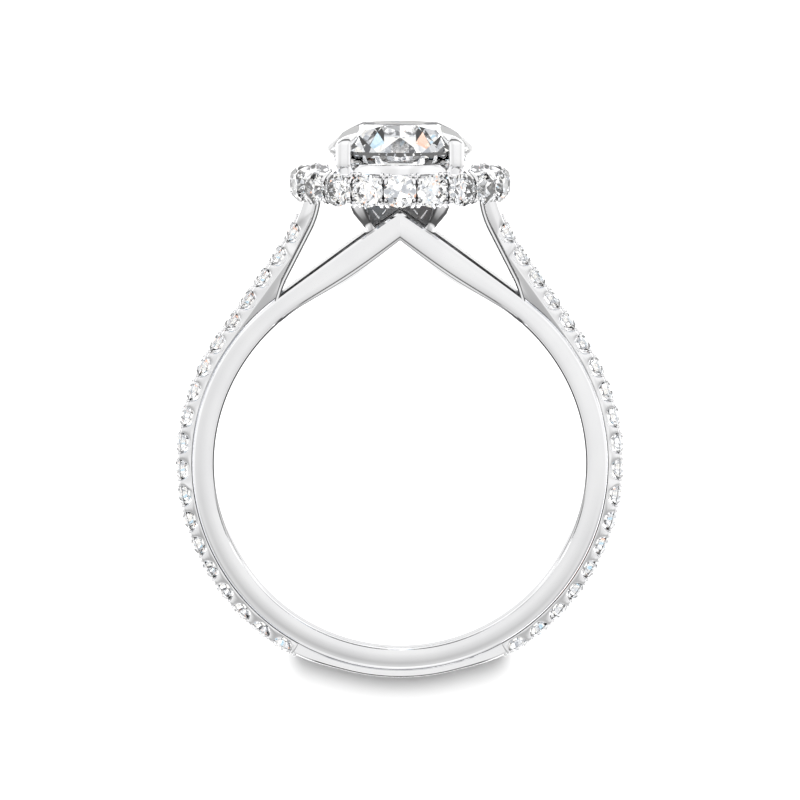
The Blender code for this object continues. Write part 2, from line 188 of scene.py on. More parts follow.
metalLook = {
    "bright": (0.94, 0.94, 0.945),
    "dull": (0.90, 0.90, 0.91),
    "toneStops": (0.35, 0.65),
    "roughLow": 0.03,
    "roughHigh": 0.07,
    "cloudSize": 420.0,      # noise scale, per metre
    "cloudDetail": 3.0,
    "cloudShare": 0.6,       # of the roughness; the rest is wipe marks
    "wipeSize": 5200.0,
    "wipeDetail": 4.0,
    "wipeStrength": 0.25,
    "wipeDepth": 0.0000006,
    "rail": (0.02, 1.0),     # more roughness, and share of the colour
    # satin metal whose colour is darkened to a quarter, for dark lines along edges: painted shade
    "edge": (0.25, 0.25),
    # rougher metal whose colour is darkened to a fifth, for hollows: painted shade
    "paintedShadeRecess": (0.25, 0.2),
}


def polishedGold(name, roughMore=0.0, share=1.0):
    look = metalLook
    made, graph = newMaterial(name)
    where = graph.add("TexCoord", output="Object")
    cloud = graph.add("TexNoise", None, {"Vector": where, "Scale": look["cloudSize"],
                                         "Detail": look["cloudDetail"]})
    wipe = graph.add("TexNoise", None, {"Vector": where, "Scale": look["wipeSize"],
                                        "Detail": look["wipeDetail"]})
    tones = [tuple(share * c for c in look[key]) for key in ("dull", "bright")]
    shade = graph.add("ValToRGB", {"stops": tuple(zip(look["toneStops"], tones))}, {"Fac": cloud})
    graph.set("Base Color", shade)
    low, high = look["roughLow"] + roughMore, look["roughHigh"] + roughMore
    grain = look["cloudShare"] * cloud + (1.0 - look["cloudShare"]) * wipe
    graph.set("Roughness", low + (high - low) * grain)
    graph.set("Metallic", 1.0)
    marks = {"Strength": look["wipeStrength"], "Distance": look["wipeDepth"], "Height": wipe}
    graph.set("Normal", graph.add("Bump", None, marks))
    return made


gemLook = {
    "body": (1.0, 1.0, 1.0),
    "faint": 0.985,          # share of the body's colour in the haze
    "toneStops": (0.3, 0.7),
    "hazeSize": 900.0,
    "hazeDetail": 2.0,
    "ior": 2.417,
}


def diamond(name):
    look = gemLook
    made, graph = newMaterial(name)
    where = graph.add("TexCoord", output="Object")
    haze = graph.add("TexNoise", None, {"Vector": where, "Scale": look["hazeSize"],
                                        "Detail": look["hazeDetail"]})
    tones = (tuple(look["faint"] * c for c in look["body"]), look["body"])
    shade = graph.add("ValToRGB", {"stops": tuple(zip(look["toneStops"], tones))}, {"Fac": haze})
    graph.set("Base Color", shade)
    graph.set("Roughness", 0.0)
    graph.set("IOR", look["ior"])
    graph.set("Transmission Weight", 1.0)
    return made


# Shared shaping helpers

def finish(name, work, material, smoothBelow):
    # edges sharper than smoothBelow degrees stay crisp; 0 is for flat facets
    bmesh.ops.transform(work, matrix=ringToFloor, verts=work.verts)
    for face in work.faces:
        face.smooth = smoothBelow > 0.0
    for edge in work.edges:
        if len(edge.link_faces) == 2 and edge.calc_face_angle(0.0) > radians(smoothBelow):
            edge.smooth = False
    mesh = bpy.data.meshes.new(name)
    work.to_mesh(mesh)
    work.free()
    mesh.materials.append(material)
    piece = bpy.data.objects.new(name, mesh)
    bpy.context.scene.collection.objects.link(piece)
    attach(piece, "root")
    print("made", name, len(mesh.polygons))
    return piece


def facing(origin, outward, upward):
    z = outward.normalized()
    y = (upward - upward.dot(z) * z).normalized()
    x = y.cross(z)
    return Matrix.Translation(origin) @ Matrix((x, y, z)).transposed().to_4x4()


def addCopy(target, source, matrix):
    mesh = bpy.data.meshes.new("copy")
    source.to_mesh(mesh)
    mesh.transform(matrix)
    target.from_mesh(mesh)
    bpy.data.meshes.remove(mesh)


def smoothstep(low, high, value):
    share = min(max((value - low) / (high - low), 0.0), 1.0)
    return share * share * (3.0 - 2.0 * share)


# Plain inner band with its pointed top

def fromTop(angle):
    return abs((angle - 90.0 + 180.0) % 360.0 - 180.0)


def pointed(base, rise, spread, power, angle):
    away = fromTop(angle)
    return base if away >= spread else base + rise * (1.0 - away / spread) ** power


def outerR(angle):
    rise, spread, power = band["pointRise"], band["pointSpread"], band["pointPower"]
    return pointed(band["outerR"], rise, spread, power, angle)


def holeR(angle):
    rise, spread, power = band["archRise"], band["archSpread"], band["archPower"]
    return pointed(band["holeR"], rise, spread, power, angle)


def bandStations():
    # the section from the hole's wall outwards: share of the way out, share of the rounding, inset
    # and height over the ring's middle plane
    half = band["width"] / 2
    ridge = band["crease"]
    near = [
        (0.0, 0.0, 0.0, 0.0),
        (0.0, 0.06, 0.0, 0.45),
        (0.0, 0.16, 0.0, 0.66),
        (0.0, 0.52, 0.0, half - 0.117),
        (0.0, 0.60, 0.0, half - 0.095),
        (0.0, 0.86, 0.0, half - 0.042),
        (0.0, 1.0, 0.0, half - 0.004),
        (0.0, 1.12, 0.0, half),
        (0.58, 0.46, 0.0, half + ridge),
        (0.71, 0.30, 0.0, half + 0.4 * ridge),
        (1.0, 0.0, -0.13, half + 0.3 * ridge),
        (1.0, 0.0, -0.07, half - 0.018),
        (1.0, 0.0, -0.005, half - 0.103),
        (1.0, 0.0, 0.0, half - 0.15),
    ]
    far = [(share, edge, inset, -z) for share, edge, inset, z in reversed(near[1:])]
    return near + far


def bandPoint(angle, station):
    share, edge, inset, z = station
    low, high = holeR(angle), outerR(angle)
    nearPoint = 1.0 - smoothstep(*band["pointFade"], fromTop(angle))
    wide = band["edgeRound"] * (1.0 + band["archRound"] * nearPoint)
    if inset:
        more = 1.0 + band["pointBevel"] * nearPoint
        inset *= more
        z += (abs(z) - band["width"] / 2) * (more - 1.0) * (1.0 if z > 0.0 else -1.0)
    radius = low + share * (high - low) + edge * wide * (1.0 - share * band["roundFade"]) + inset
    return Vector((radius * cos(radians(angle)), radius * sin(radians(angle)), z))


def makeInnerBand(material, paintedShadeEdgeMetal):
    work = bmesh.new()
    steps = band["steps"]
    bmesh.ops.create_circle(work, segments=steps, radius=1.0)
    work.verts.ensure_lookup_table()
    angles = [90.0 + 360.0 * i / steps for i in range(steps)]
    first = list(work.edges)
    stations = bandStations()
    order = {vert: i for i, vert in enumerate(work.verts)}
    for vert, index in order.items():
        vert.co = bandPoint(angles[index], stations[0])
    edges = first
    soft = band["softShares"]
    middle = len(stations) // 2
    bevels = (middle - 1, middle + 3)    # the strips of the two outer bevels
    for count, station in enumerate(stations[1:], 1):
        made = bmesh.ops.extrude_edge_only(work, edges=edges)["geom"]
        fresh = {v for v in made if isinstance(v, bmesh.types.BMVert)}
        edges = [e for e in made if isinstance(e, bmesh.types.BMEdge) and e.is_boundary
                 and e.verts[0] in fresh and e.verts[1] in fresh]
        spot = {}
        for vert in fresh:
            old = [e.other_vert(vert) for e in vert.link_edges if e.other_vert(vert) in order][0]
            spot[vert] = order[old]
        for vert, index in spot.items():
            vert.co = bandPoint(angles[index], station)
        order = spot
        if station[0] not in soft or abs(station[3]) > band["softWall"]:
            for edge in edges:
                edge.smooth = station[0] in soft[1:]
        # outer bevel strips near the point take the darkened metal, material 1: painted shade
        if count in bevels:
            for face in made:
                if isinstance(face, bmesh.types.BMFace):
                    turns = [fromTop(angles[spot[v]]) for v in face.verts if v in spot]
                    face.material_index = int(max(turns) < band["darkSpread"])
    bmesh.ops.bridge_loops(work, edges=edges + first)
    bmesh.ops.recalc_face_normals(work, faces=work.faces)
    for edge in work.edges:
        if all(abs(v.co.x) < 1e-5 and v.co.y > 0.0 for v in edge.verts):
            edge.smooth = False    # crisp mitre at the point
    piece = finish("inner_band", work, material, band["smoothBelow"])
    piece.data.materials.append(paintedShadeEdgeMetal)
    return piece


# Scalloped rails that carry the small stones

rail = {
    "thick": 0.58,           # rail over the plain band at the sides
    "width": 1.78,
    "sink": -0.025,          # clear of the band by the fine line between them
    "bendR": 8.1,
    "topLean": 17.0,
    "topX": 4.33,            # outer edge where the rail meets the halo
    "topY": 11.85,
    "topThick": 0.77,
    "rise": 0.25,            # how far it runs up into the halo
    "innerBendR": 4.0,
    "innerLean": 27.0,
    "innerTopLean": 8.0,
    "innerSteps": 60,        # along the band
    "edgeSteps": 9,          # along each part of the free edge
    "topSteps": 4,           # from the halo to the first scallop
    "round": 0.03,
    "lipWide": 0.20,         # chamfered strip along the free inner edge
    "lipDrop": -0.05,
    "lipCut": 0.06,
    "lipInnerFall": 0.86,    # slope of the chamfers on the inner and the outer side
    "lipOuterFall": 1.13,
    "lipSetBack": 0.21,
    "lipBlend": 0.6,         # the set-back comes in over this length from the split
    "lipTail": 0.5,          # the lip's start, buried in the band
    "webSink": 0.1,          # the web joins the rail to the band
    "webWidth": 0.5,
    "webDrop": 0.34,         # web under the stones, below the rail's edge
    "smoothBelow": 30.0,
}

pave = {
    "count": 19,
    "size": 1.16,
    "pitch": 1.21,
    "first": 1.48,           # first stone, along the rail from the halo
    "proud": 0.18,
    "cutR": 0.49,
    "cutDepth": 0.47,
    "cutSteps": 14,
    "sides": 24,
    "turn": 0.7,             # each stone is turned this much more than the one before
    "beadR": 0.095,
    "beadSide": 0.105,
    "beadOut": 0.50,
    "beadUp": 0.02,
    "beadSides": 12,
    "beadRings": 8,
}

railR = band["outerR"] + rail["thick"]


def railFrame():
    topTurn = radians(rail["topLean"])
    out = Vector((cos(topTurn), sin(topTurn)))
    centre = Vector((rail["topX"], rail["topY"])) + rail["bendR"] * out
    leave = atan2(centre.y, centre.x) - acos((railR + rail["bendR"]) / centre.length)
    return centre, leave, topTurn


def railPoint(run):
    centre, leave, topTurn = railFrame()
    bend = rail["bendR"] * (leave - topTurn)
    out = Vector((cos(leave), sin(leave)))
    bendEnd = centre - rail["bendR"] * out
    straight = (bendEnd - railR * out).length
    if run < bend:
        turn = topTurn + run / rail["bendR"]
        out = Vector((cos(turn), sin(turn)))
        return centre - rail["bendR"] * out, out
    if run < bend + straight:
        return bendEnd + (run - bend) * Vector((out.y, -out.x)), out
    turn = leave - (run - bend - straight) / railR
    out = Vector((cos(turn), sin(turn)))
    return railR * out, out


def paveRuns():
    return [pave["first"] + pave["pitch"] * i for i in range(pave["count"])]


def cutPoints(run):
    edge, out = railPoint(run)
    down = Vector((out.y, -out.x))
    depth = pave["cutDepth"] - pave["cutR"]
    lip = atan(depth / sqrt(pave["cutR"] ** 2 - depth ** 2))
    middle = edge - depth * out
    points = []
    for i in range(pave["cutSteps"] + 1):
        turn = -lip + (pi + 2 * lip) * i / pave["cutSteps"]
        points.append(middle - pave["cutR"] * (cos(turn) * down + sin(turn) * out))
    return points


def railBendEnd():
    top = Vector((rail["topX"] - rail["topThick"], rail["topY"]))
    high, low = radians(rail["innerTopLean"]), radians(rail["innerLean"])
    centre = top + rail["innerBendR"] * Vector((cos(high), sin(high)))
    return centre, centre - rail["innerBendR"] * Vector((cos(low), sin(low)))


def railSplit(sink):
    # where the rail's straight inner edge runs into the band
    low = radians(rail["innerLean"])
    bendEnd = railBendEnd()[1]
    along = Vector((sin(low), -cos(low)))
    sunk = band["outerR"] - sink
    ahead = bendEnd.dot(along)
    reach = -ahead - sqrt(ahead * ahead - bendEnd.length_squared + sunk * sunk)
    return bendEnd + reach * along


def railFreeEdge(setBack):
    # the rail's inner edge from the split up to the halo
    top = Vector((rail["topX"] - rail["topThick"], rail["topY"]))
    high, low = radians(rail["innerTopLean"]), radians(rail["innerLean"])
    centre, bendEnd = railBendEnd()
    split = railSplit(rail["sink"])
    out = Vector((cos(low), sin(low)))
    points = []
    steps = rail["edgeSteps"]
    for i in range(steps):
        spot = split.lerp(bendEnd, i / steps)
        share = smoothstep(0.0, rail["lipBlend"], (spot - split).length)
        points.append(spot + setBack * share * out)
    for i in range(steps):
        turn = low + (high - low) * i / (steps - 1)
        points.append(centre - (rail["innerBendR"] - setBack) * Vector((cos(turn), sin(turn))))
    across, along = Vector((cos(high), sin(high))), Vector((-sin(high), cos(high)))
    points.append(top + setBack * across + rail["rise"] * along)
    return points


def railInner(sink):
    sunk = band["outerR"] - sink
    split = railSplit(sink)
    start = railEndAngle()
    stop = degrees(atan2(split.y, split.x))
    points = []
    for i in range(rail["innerSteps"]):
        turn = radians(start + (stop - start) * i / rail["innerSteps"])
        points.append(Vector((sunk * cos(turn), sunk * sin(turn))))
    return points + railFreeEdge(rail["lipSetBack"])


def railEndAngle():
    _, out = railPoint(paveRuns()[-1] + pave["pitch"] * 0.5)
    return degrees(atan2(out.y, out.x))


def railOuter(scalloped):
    drop = 0.0 if scalloped else rail["webDrop"]
    points = [railPoint(-rail["rise"])[0] - drop * railPoint(0.0)[1]]
    for i in range(rail["topSteps"]):
        edge, out = railPoint((pave["first"] - pave["cutR"]) * i / rail["topSteps"])
        points.append(edge - drop * out)
    for run in paveRuns():
        if scalloped:
            points += cutPoints(run)
            continue
        for share in (-1, 0, 1):
            edge, out = railPoint(run + pave["pitch"] * share / 3)
            points.append(edge - drop * out)
    edge, out = railPoint(paveRuns()[-1] + pave["pitch"] / 2)
    points.append(edge - drop * out)
    return points


def slab(work, outline, low, high, side):
    part = bmesh.new()
    verts = [part.verts.new((side * p.x, p.y, low)) for p in outline]
    face = part.faces.new(verts)
    made = bmesh.ops.extrude_face_region(part, geom=[face])["geom"]
    top = [v for v in made if isinstance(v, bmesh.types.BMVert)]
    bmesh.ops.translate(part, vec=(0.0, 0.0, high - low), verts=top)
    bmesh.ops.recalc_face_normals(part, faces=part.faces)
    rims = [e for e in part.edges if abs(e.verts[0].co.z - e.verts[1].co.z) < 1e-6]
    bmesh.ops.bevel(part, geom=rims, offset=rail["round"], segments=2, profile=0.5,
                    affect="EDGES", material=-1, clamp_overlap=True)
    addCopy(work, part, Matrix.Identity(4))
    part.free()


def makeLip(work, side):
    # chamfered strip along the rail's free inner edge
    path = [Vector((side * p.x, p.y, 0.0)) for p in railFreeEdge(rail["lipWide"] / 2)]
    path[0] = path[0] + (path[0] - path[1]).normalized() * rail["lipTail"]
    part = bmesh.new()
    wide, tall = rail["lipWide"] / 2, rail["width"] / 2 - rail["lipDrop"]
    cut = rail["lipCut"]
    inner, outer = side * wide, -side * wide
    upper = [(outer, tall - rail["lipOuterFall"] * cut), (outer + side * cut, tall),
             (inner - side * cut, tall), (inner, tall - rail["lipInnerFall"] * cut)]
    lower = [(x, -y) for x, y in reversed(upper)]
    face = part.faces.new([part.verts.new((x, y, 0.0)) for x, y in upper + lower])
    up = Vector((0.0, 0.0, 1.0))
    before = Matrix.Identity(4)
    for i, spot in enumerate(path):
        ahead = path[min(i + 1, len(path) - 1)] - path[max(i - 1, 0)]
        after = facing(spot, ahead, up)
        if i:
            face = bmesh.ops.extrude_discrete_faces(part, faces=[face])["faces"][0]
        bmesh.ops.transform(part, matrix=after @ before.inverted(), verts=face.verts)
        before = after
    bmesh.ops.recalc_face_normals(part, faces=part.faces)
    for face in part.faces:
        face.material_index = int(0.3 < abs(face.normal.z) < 0.95)    # chamfers take the darkened metal: painted shade
    addCopy(work, part, Matrix.Identity(4))
    part.free()


def makeRails(material, paintedShadeEdgeMetal):
    half = rail["width"] / 2
    web = rail["webWidth"] / 2
    cut = railOuter(True) + railInner(rail["sink"])
    plain = railOuter(False) + railInner(rail["webSink"])
    for side, name in ((1, "right"), (-1, "left")):
        work = bmesh.new()
        slab(work, cut, -half, half, side)
        slab(work, plain, -web, web, side)
        makeLip(work, side)
        piece = finish("pave_rail_" + name, work, material, rail["smoothBelow"])
        piece.data.materials.append(paintedShadeEdgeMetal)


# Plain rail at the back of the finger

plainRail = {
    "thick": 0.40,
    # chamfers of its section: in from the inner or the outer radius, and down from the side
    "innerCuts": ((0.0, 0.06), (0.035, 0.01)),
    "outerCuts": ((0.1, 0.0), (0.04, 0.045), (0.0, 0.2)),
    "blend": 0.5,            # share of the rail that swells towards the stones
    "swellShort": 0.03,      # how much it stays below the last posts
    "swellFrom": 0.05,       # over the band's radius
    "steps": 64,
    "smoothBelow": 30.0,
}


def makeBackRail(material):
    half = rail["width"] / 2
    start = railEndAngle()
    inner = band["outerR"] - rail["sink"]
    outer = band["outerR"] + plainRail["thick"]
    profile = [(inner + cut, half - drop) for cut, drop in plainRail["innerCuts"]]
    profile += [(outer - cut, half - drop) for cut, drop in plainRail["outerCuts"]]
    outline = profile + [(r, -z) for r, z in reversed(profile)]
    work = bmesh.new()
    turn = radians(start)
    verts = [work.verts.new((r * cos(turn), r * sin(turn), z)) for r, z in outline]
    face = work.faces.new(verts)
    bmesh.ops.spin(work, geom=[face] + list(face.edges) + verts, cent=(0, 0, 0), axis=(0, 0, 1),
                   angle=-radians(2 * (start + 90.0)), steps=plainRail["steps"],
                   use_duplicate=False)
    swell = rail["thick"] - plainRail["swellShort"] - plainRail["thick"]
    for vert in work.verts:
        radius = vert.co.xy.length
        if radius > band["outerR"] + plainRail["swellFrom"]:
            angle = degrees(atan2(vert.co.y, vert.co.x))
            share = smoothstep(1.0 - plainRail["blend"], 1.0, abs(angle + 90.0) / (start + 90.0))
            grow = swell * share * (radius - band["outerR"]) / plainRail["thick"]
            vert.co.x += grow * vert.co.x / radius
            vert.co.y += grow * vert.co.y / radius
    bmesh.ops.recalc_face_normals(work, faces=work.faces)
    return finish("back_rail", work, material, plainRail["smoothBelow"])


# Round brilliants, cut facet by facet from a disc

cutShape = {
    "table": 0.56,           # shares of the diameter
    "crown": 0.17,
    "girdle": 0.02,
    "pavilion": 0.41,
    "upperSteeper": 5.5,     # degrees that the girdle facets are steeper than the mains
    "lowerSteeper": 1.3,
    "starAngle": 21.0,
    "weld": 2e-4,
}


def sliceOff(work, turn, slope, radius, height, up):
    normal = Vector((sin(slope) * cos(turn), sin(slope) * sin(turn), up * cos(slope)))
    spot = Vector((radius * cos(turn), radius * sin(turn), height))
    geom = list(work.verts) + list(work.edges) + list(work.faces)
    made = bmesh.ops.bisect_plane(work, geom=geom, plane_co=spot, plane_no=normal,
                                  clear_outer=True, dist=1e-5)
    rim = [e for e in made["geom_cut"] if isinstance(e, bmesh.types.BMEdge) and e.is_boundary]
    if len(rim) > 2:
        bmesh.ops.edgeloop_fill(work, edges=rim)


def brilliant(sides):
    work = bmesh.new()
    r = 0.5
    girdle = cutShape["girdle"] / 2
    crown, pavilion = cutShape["crown"], cutShape["pavilion"]
    tableR = r * cutShape["table"]
    mainUp = atan(crown / (r - tableR))
    mainDown = atan(pavilion / r)
    steepUp = mainUp + radians(cutShape["upperSteeper"])
    steepDown = mainDown + radians(cutShape["lowerSteeper"])
    starUp = radians(cutShape["starAngle"])
    bmesh.ops.create_cone(work, cap_ends=True, segments=sides, radius1=r, radius2=r, depth=2.0)
    step = pi / 4
    for i in range(8):
        turn = step * i
        sliceOff(work, turn, mainUp, r, girdle, 1)
        sliceOff(work, turn, mainDown, r, -girdle, -1)
        for half in (-1, 1):
            sliceOff(work, turn + half * step / 4, steepUp, r, girdle, 1)
            sliceOff(work, turn + half * step / 4, steepDown, r, -girdle, -1)
    sliceOff(work, 0.0, 0.0, 0.0, girdle + crown, 1)
    for i in range(8):
        sliceOff(work, step * (i + 0.5), starUp, tableR * cos(step / 2), girdle + crown, 1)
    bmesh.ops.remove_doubles(work, verts=work.verts, dist=cutShape["weld"])
    bmesh.ops.recalc_face_normals(work, faces=work.faces)
    return work


def makePave(material, metal):
    stone = brilliant(pave["sides"])
    stones = bmesh.new()
    beads = bmesh.new()
    up = Vector((0.0, 0.0, 1.0))
    crown = (cutShape["crown"] + cutShape["girdle"] / 2) * pave["size"]
    runs = paveRuns()

    def onRail(side, run, height):
        edge, out = railPoint(run)
        outward = Vector((side * out.x, out.y, 0.0))
        return facing(Vector((side * edge.x, edge.y, 0.0)) + height * outward, outward, up)

    for side in (1, -1):
        for i, run in enumerate(runs):
            place = onRail(side, run, pave["proud"] - crown)
            turned = place @ Matrix.Rotation(pave["turn"] * i, 4, "Z")
            addCopy(stones, stone, turned @ Matrix.Scale(pave["size"], 4))
        for i in range(len(runs) + 1):
            place = onRail(side, runs[0] + pave["pitch"] * (i - 0.5), 0.0)
            for x in (-1, 1):
                for y in (-1, 1):
                    spot = (x * pave["beadSide"], y * pave["beadOut"], pave["beadUp"])
                    bmesh.ops.create_uvsphere(beads, u_segments=pave["beadSides"],
                                              v_segments=pave["beadRings"], radius=pave["beadR"],
                                              matrix=place @ Matrix.Translation(spot))
    stone.free()
    finish("pave_stones", stones, material, 0.0)
    finish("pave_beads", beads, metal, 60.0)


# Halo: rim, stones and their corner prongs

halo = {
    "count": 20,
    "size": 1.44,
    "sides": 32,
    "turn": 0.9,                   # each stone is turned this much more than the one before
    "tableR": 4.94,
    "middle": 12.62,
    # upper half of the channel behind the stones, as radius and height over the middle
    "rim": ((3.36, 0.52), (3.44, 0.60), (4.28, 0.62), (4.41, 0.58), (4.43, 0.50), (4.34, 0.45),
            (3.8, 0.44), (3.72, 0.36)),
    "liner": ((4.42, 0.47), (4.34, 0.43), (3.82, 0.42), (3.75, 0.34)),   # its inside, lined with a thin sheet of darkened metal as painted shade
    "linerThick": 0.03,
    "linerLap": 0.02,
    "barWide": 0.21,
    "barSplit": 0.085,             # dark line between neighbours
    "barMiddle": 4.07,             # prongs curl about this radius
    "barCurl": 0.79,
    "barThick": 0.24,
    "barTurns": ((24.0, 88.0), (-24.0, -84.0)),   # degrees, upper and lower prongs
    "barSteps": 7,
    "barRound": 0.05,
    "steps": 160,
}


def turnedRing(work, outline, steps):
    verts = [work.verts.new((r, y, 0.0)) for r, y in outline]
    edges = [work.edges.new((v, verts[(i + 1) % len(verts)])) for i, v in enumerate(verts)]
    bmesh.ops.spin(work, geom=verts + edges, cent=(0, 0, 0), axis=(0, 1, 0), angle=2 * pi,
                   steps=steps, use_merge=True, use_duplicate=False)
    bmesh.ops.remove_doubles(work, verts=work.verts, dist=1e-4)
    bmesh.ops.recalc_face_normals(work, faces=work.faces)


def curlBar(target, place, start, stop):
    # a small square bar bent over the edge of the stone
    bar = bmesh.new()
    wide, thick = halo["barWide"], halo["barThick"]
    out = Matrix.Translation((0.0, 0.0, halo["barCurl"] - thick / 2))
    end = Matrix.Rotation(pi / 2, 4, "X") @ Matrix.Diagonal((wide, thick, 1, 1))
    bmesh.ops.create_grid(bar, x_segments=1, y_segments=1, size=0.5,
                          matrix=Matrix.Rotation(radians(-start), 4, "X") @ out @ end)
    bmesh.ops.spin(bar, geom=bar.verts[:] + bar.edges[:] + bar.faces[:], cent=(0, 0, 0),
                   axis=(1, 0, 0), angle=radians(start - stop), steps=halo["barSteps"],
                   use_duplicate=False)
    bmesh.ops.recalc_face_normals(bar, faces=bar.faces)
    sharp = [e for e in bar.edges if e.calc_face_angle(0.0) > radians(50.0)]
    bmesh.ops.bevel(bar, geom=sharp, offset=halo["barRound"], segments=1, profile=0.5,
                    affect="EDGES", material=-1)
    addCopy(target, bar, place)
    bar.free()


def haloDirection(turn):
    return Vector((sin(turn), 0.0, cos(turn)))


def makeHalo(material, metal, paintedShadeRecess):
    up = Vector((0.0, 1.0, 0.0))
    middle = up * halo["middle"]
    rim = bmesh.new()
    outline = [(r, middle.y + y) for r, y in halo["rim"]]
    outline += [(r, middle.y - y) for r, y in reversed(halo["rim"])]
    turnedRing(rim, outline, halo["steps"])
    finish("halo_rim", rim, metal, 30.0)
    # a thin sheet of darkened metal inside the channel: painted shade seen between the prongs
    liner = bmesh.new()
    lap, thick = halo["linerLap"], halo["linerThick"]
    inside = list(halo["liner"]) + [(r, -y) for r, y in reversed(halo["liner"])]
    behind = [(r - lap, y + (thick if y > 0.0 else -thick)) for r, y in reversed(inside)]
    turnedRing(liner, [(r, middle.y + y) for r, y in inside + behind], halo["steps"])
    finish("halo_channel_painted_shade", liner, paintedShadeRecess, 30.0)
    stone = brilliant(halo["sides"])
    crown = (cutShape["crown"] + cutShape["girdle"] / 2) * halo["size"]
    bars = bmesh.new()
    step = 2 * pi / halo["count"]
    barAside = (halo["barSplit"] + halo["barWide"]) / 2 / (halo["barMiddle"] + halo["barCurl"])
    for i in range(halo["count"]):
        out = haloDirection(step * i)
        place = facing(out * (halo["tableR"] - crown) + middle, out, up)
        turned = place @ Matrix.Rotation(halo["turn"] * i, 4, "Z")
        work = bmesh.new()
        addCopy(work, stone, turned @ Matrix.Scale(halo["size"], 4))
        piece = finish("halo_brilliant_%02d" % (i + 1), work, material, 0.0)
        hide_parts("halo_stone_%02d" % (i + 1))
        for side in (-1, 1):
            along = haloDirection(step * i + (step / 2 - barAside) * side)
            for start, stop in halo["barTurns"]:
                curlBar(bars, facing(along * halo["barMiddle"] + middle, along, up), start, stop)
    stone.free()
    finish("halo_prongs", bars, metal, 40.0)


# Centre stone, its seat ring and four claws

centre = {
    "size": 6.5,
    "sides": 64,
    "girdleY": 14.15,
    # section of the ring under the girdle, as radius and height
    "seat": ((2.92, 13.25), (2.92, 13.62), (2.95, 13.67), (3.0, 13.69), (3.07, 13.665),
             (3.14, 13.58), (3.2, 13.46), (3.22, 13.25)),
    "seatSteps": 128,
}


def makeCentre(material, metal):
    stone = brilliant(centre["sides"])
    work = bmesh.new()
    up = Vector((0.0, 1.0, 0.0))
    place = facing(up * centre["girdleY"], up, Vector((0.0, 0.0, 1.0)))
    turned = place @ Matrix.Rotation(pi / 8, 4, "Z")
    addCopy(work, stone, turned @ Matrix.Scale(centre["size"], 4))
    stone.free()
    piece = finish("centre_brilliant", work, material, 0.0)
    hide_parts("centre_stone")
    seat = bmesh.new()
    turnedRing(seat, centre["seat"], centre["seatSteps"])
    finish("stone_seat", seat, metal, 30.0)


claw = {
    "clawR": 0.345,
    "kneeR": 0.325,
    "footR": 0.21,
    "footFlare": 0.25,       # solder round the foot
    "foot": (1.36, 10.68, 0.72),
    "knee": (1.88, 11.64, 1.32),
    "hip": (2.46, 13.3, 2.36),
    "neck": (2.50, 13.62, 2.38),
    "shoulder": (2.50, 14.52, 2.36),
    # above the shoulder: rise, lean towards the stone and share of the claw's radius
    "tip": ((0.12, 0.05, 0.93), (0.25, 0.14, 0.66), (0.345, 0.22, 0.36), (0.38, 0.26, 0.12)),
    "sides": 24,
    "square": 5.0,           # 2 is round, higher is squarer
}


def clawStations(sideX, sideZ):
    def spot(key):
        x, y, z = claw[key]
        return Vector((sideX * x, y, sideZ * z))

    inward = Vector((-sideX, 0.0, -sideZ)).normalized()
    foot, knee, top = spot("foot"), spot("knee"), spot("shoulder")
    stations = [
        (foot, claw["footFlare"]),
        (foot.lerp(knee, 0.16), claw["footFlare"] * 0.8),
        (foot.lerp(knee, 0.34), claw["footR"] + 0.02),
        (knee, claw["kneeR"]),
        (spot("hip"), claw["clawR"] * 0.95),
        (spot("neck"), claw["clawR"]),
        (top, claw["clawR"]),
    ]
    for rise, leanIn, share in claw["tip"]:
        stations.append((top + Vector((0, rise, 0)) + leanIn * inward, claw["clawR"] * share))
    return stations


def makeClaws(metal):
    work = bmesh.new()
    power = claw["square"]
    for sideX in (1, -1):
        for sideZ in (1, -1):
            stations = clawStations(sideX, sideZ)
            shoulder = len(stations) - len(claw["tip"]) - 1
            part = bmesh.new()
            bmesh.ops.create_circle(part, cap_ends=True, segments=claw["sides"], radius=1.0)
            for vert in part.verts:
                vert.co /= (abs(vert.co.x) ** power + abs(vert.co.y) ** power) ** (1 / power)
            spot, radius = stations[0]
            ahead = stations[1][0] - spot
            front = Vector((0.0, 0.0, sideZ))
            before = facing(spot, ahead, front) @ Matrix.Scale(radius, 4)
            bmesh.ops.transform(part, matrix=before, verts=part.verts)
            face = part.faces[:][0]
            for i in range(1, len(stations)):
                before = facing(spot, ahead, front) @ Matrix.Scale(radius, 4)
                spot, radius = stations[i]
                if i < shoulder:
                    ahead = stations[i + 1][0] - stations[i - 1][0]
                else:
                    ahead = Vector((0.0, 1.0, 0.0))
                after = facing(spot, ahead, front) @ Matrix.Scale(radius, 4)
                face = bmesh.ops.extrude_discrete_faces(part, faces=[face])["faces"][0]
                bmesh.ops.transform(part, matrix=after @ before.inverted(), verts=face.verts)
            bmesh.ops.recalc_face_normals(part, faces=part.faces)
            addCopy(work, part, Matrix.Identity(4))
            part.free()
    finish("claws", work, metal, 40.0)


# A ridge that fills the space between the struts, on top of the band, in darkened metal as painted
# shade under the halo; its ribs stay polished

saddle = {
    "foot": 10.5,
    "footX": 1.3,
    "footZ": 0.9,
    "top": 11.62,
    "topX": 1.5,
    "topZ": 0.06,
    "round": 0.05,
    "ribs": (((1.22, 11.42), (0.93, 11.06)), ((0.62, 11.44), (0.80, 11.24))),   # ends, as X and Y
    "ribR": 0.045,
    "ribSides": 12,
}


